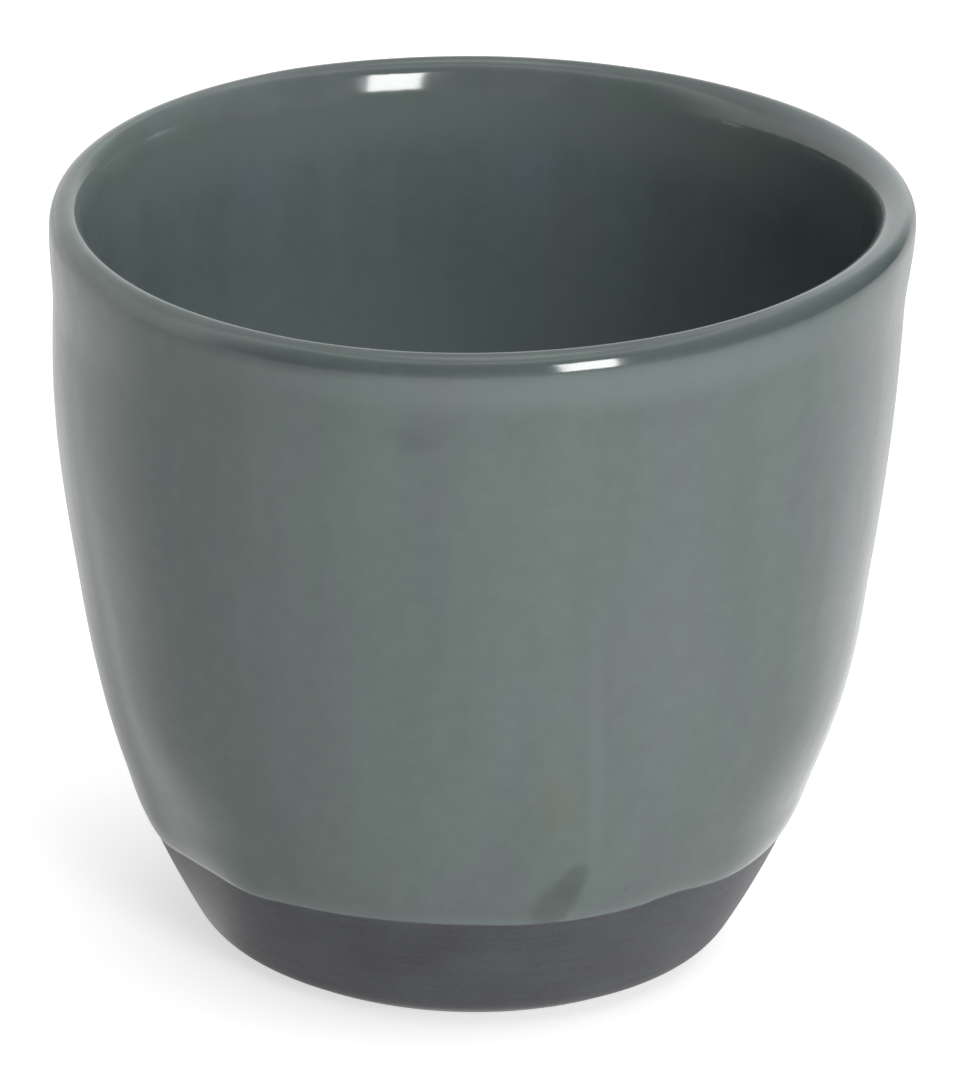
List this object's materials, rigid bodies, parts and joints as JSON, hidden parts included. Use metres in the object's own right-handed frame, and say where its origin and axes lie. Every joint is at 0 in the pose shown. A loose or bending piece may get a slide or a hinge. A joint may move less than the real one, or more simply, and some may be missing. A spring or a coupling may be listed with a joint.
{
  "type": "espresso cup",
  "caption": "Handleless stoneware espresso cup with a tapering wall, glossy grey-green glaze inside and out, and a bare dark clay foot",
  "frame": {"origin": "centre of the standing ring, on the surface that the cup stands on", "axes": "+Z is the cup's turning axis, from the foot up to the mouth; -Y is the side seen in the picture; +X is its right"},
  "size_m": [0.065, 0.065, 0.0603],
  "materials": {
    "bare_clay": "matt unglazed dark grey stoneware",
    "outer_glaze": "glossy grey-green glaze, dipped",
    "liner_glaze": "glossy grey-green glaze, poured"
  },
  "bodies": {
    "root": {"stoneware_body": "bare_clay", "outer_glaze": "outer_glaze", "liner_glaze": "liner_glaze"}
  },
  "joints": []
}
